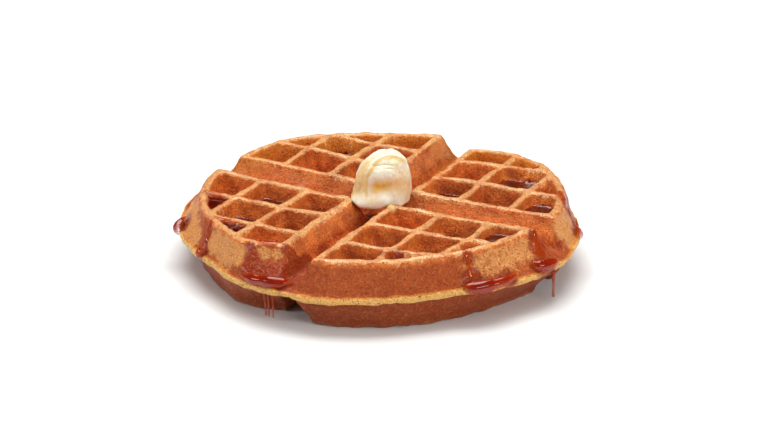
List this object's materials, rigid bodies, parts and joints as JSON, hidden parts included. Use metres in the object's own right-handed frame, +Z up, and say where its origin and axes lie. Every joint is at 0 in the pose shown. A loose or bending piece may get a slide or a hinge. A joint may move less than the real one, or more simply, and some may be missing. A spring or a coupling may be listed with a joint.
{
  "type": "belgian waffle",
  "caption": "Round waffle with deep square pockets, a cross of grooves between its quarters and a seam round its edge, topped with a melting scoop of butter and syrup.",
  "frame": {"origin": "on the surface that the waffle lies on, below the crossing of its two grooves", "axes": "+Z up, X and Y along the two grooves; the far quarter, which has curled up a few millimetres, is at -X and +Y"},
  "size_m": [0.1858, 0.1838, 0.0525],
  "materials": {
    "waffle": "baked crust, matt where dry and glossy where wet with syrup",
    "butter": "soft and slightly translucent, with a melted gloss at its foot"
  },
  "bodies": {
    "root": {"waffle": "waffle", "butter": "butter"}
  },
  "joints": []
}
